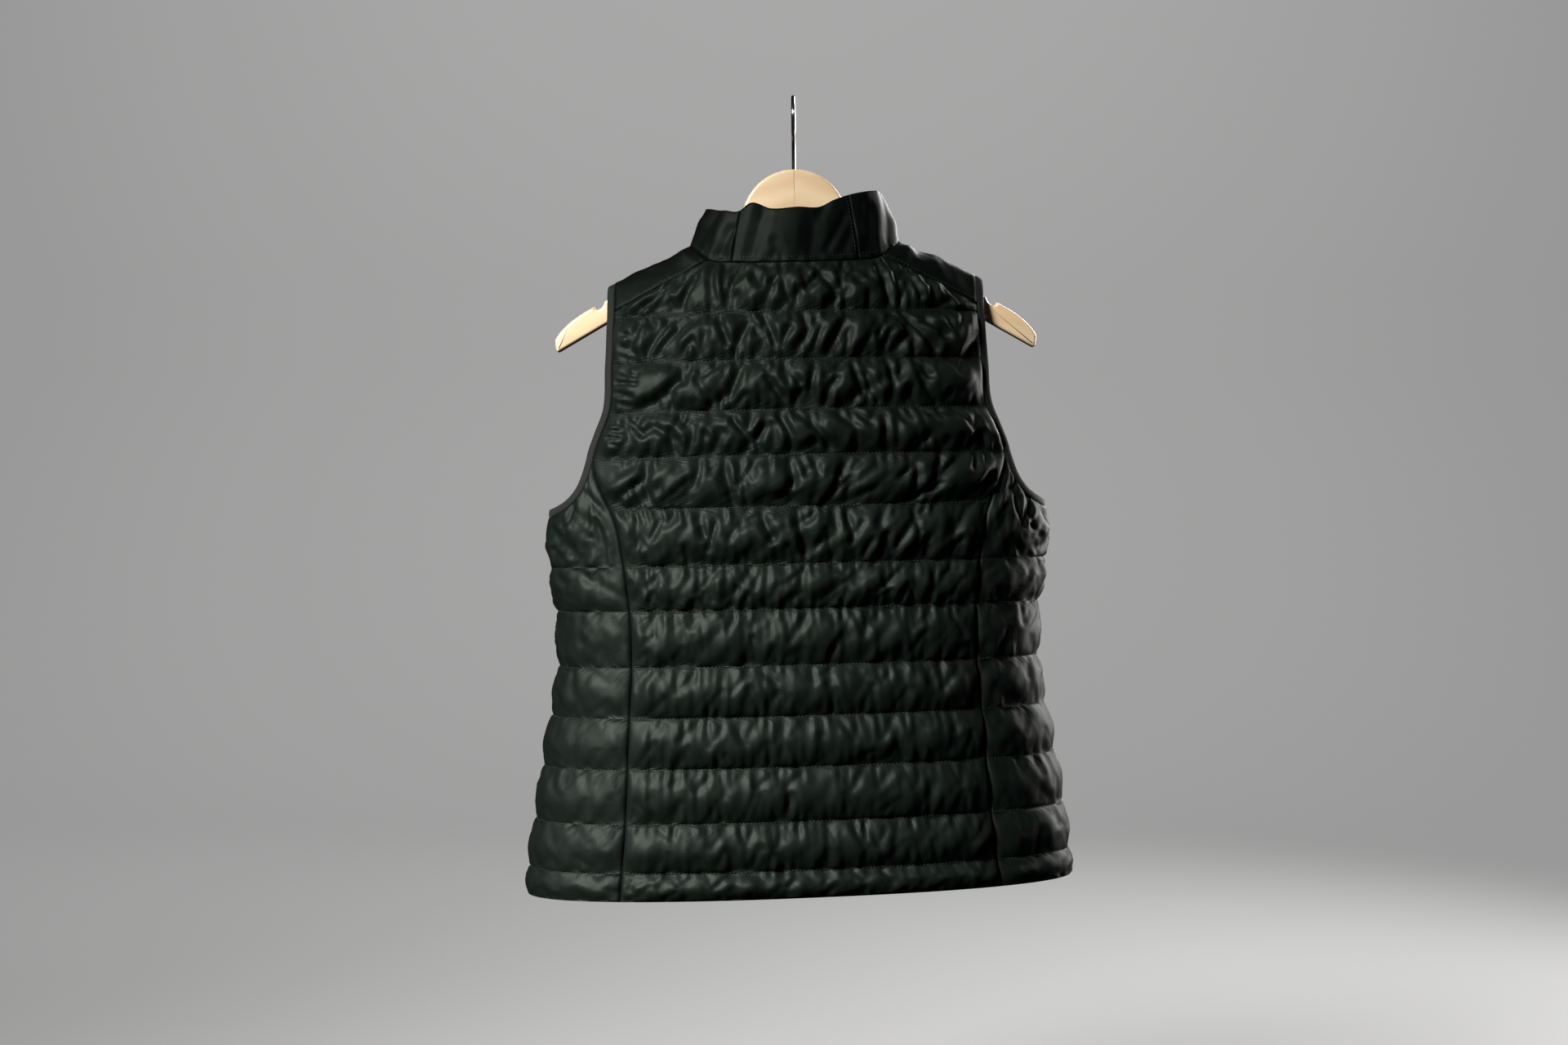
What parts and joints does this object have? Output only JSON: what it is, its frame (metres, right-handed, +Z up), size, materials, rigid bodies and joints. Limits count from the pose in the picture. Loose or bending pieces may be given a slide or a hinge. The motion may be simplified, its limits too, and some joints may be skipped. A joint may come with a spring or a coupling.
{
  "type": "quilted body warmer on a wooden hanger",
  "caption": "Sleeveless quilted body warmer with a stand collar and a full front zip, hung by its shoulders on a wooden hanger with a wire hook.",
  "frame": {"origin": "the inside top of the hanger's hook, where a rail carries it", "axes": "+Z up, +X towards the wearer's left along the hanger, the garment's front faces -Y and its back faces +Y"},
  "size_m": [0.4985, 0.2118, 0.7183],
  "materials": {
    "quilted_shell": "satin dark green-grey nylon over light fill",
    "plain_shell": "satin dark green-grey nylon",
    "binding_tape": "matt knitted tape",
    "zip_tape": "matt woven tape",
    "zip_teeth": "moulded black plastic",
    "zip_metal": "black enamelled metal",
    "hanger_wood": "clear lacquered pale maple",
    "hook_chrome": "polished"
  },
  "bodies": {
    "root": {"back_panel": "quilted_shell", "side_panel_left": "quilted_shell", "side_panel_right": "quilted_shell", "front_left": "quilted_shell", "front_right": "quilted_shell", "yoke_left": "plain_shell", "yoke_right": "plain_shell", "collar_back": "plain_shell", "collar_left": "plain_shell", "collar_right": "plain_shell", "armhole_binding_left": "binding_tape", "armhole_binding_right": "binding_tape", "zip_tape_left": "zip_tape", "zip_tape_right": "zip_tape", "zip_chain": "zip_teeth", "zip_slider": "zip_metal", "hanger_arm_left": "hanger_wood", "hanger_arm_right": "hanger_wood", "hanger_hook": "hook_chrome"},
    "pull_tab": {"zip_pull": "zip_metal"}
  },
  "joints": [
    {"name": "pull_tab_swing", "type": "hinge", "parent": "root", "child": "pull_tab", "pos_m": [-0.00155, -0.06276, -0.15728], "axis": [-0.9999, 0, 0.0112], "range_deg": [0, 165]}
  ]
}
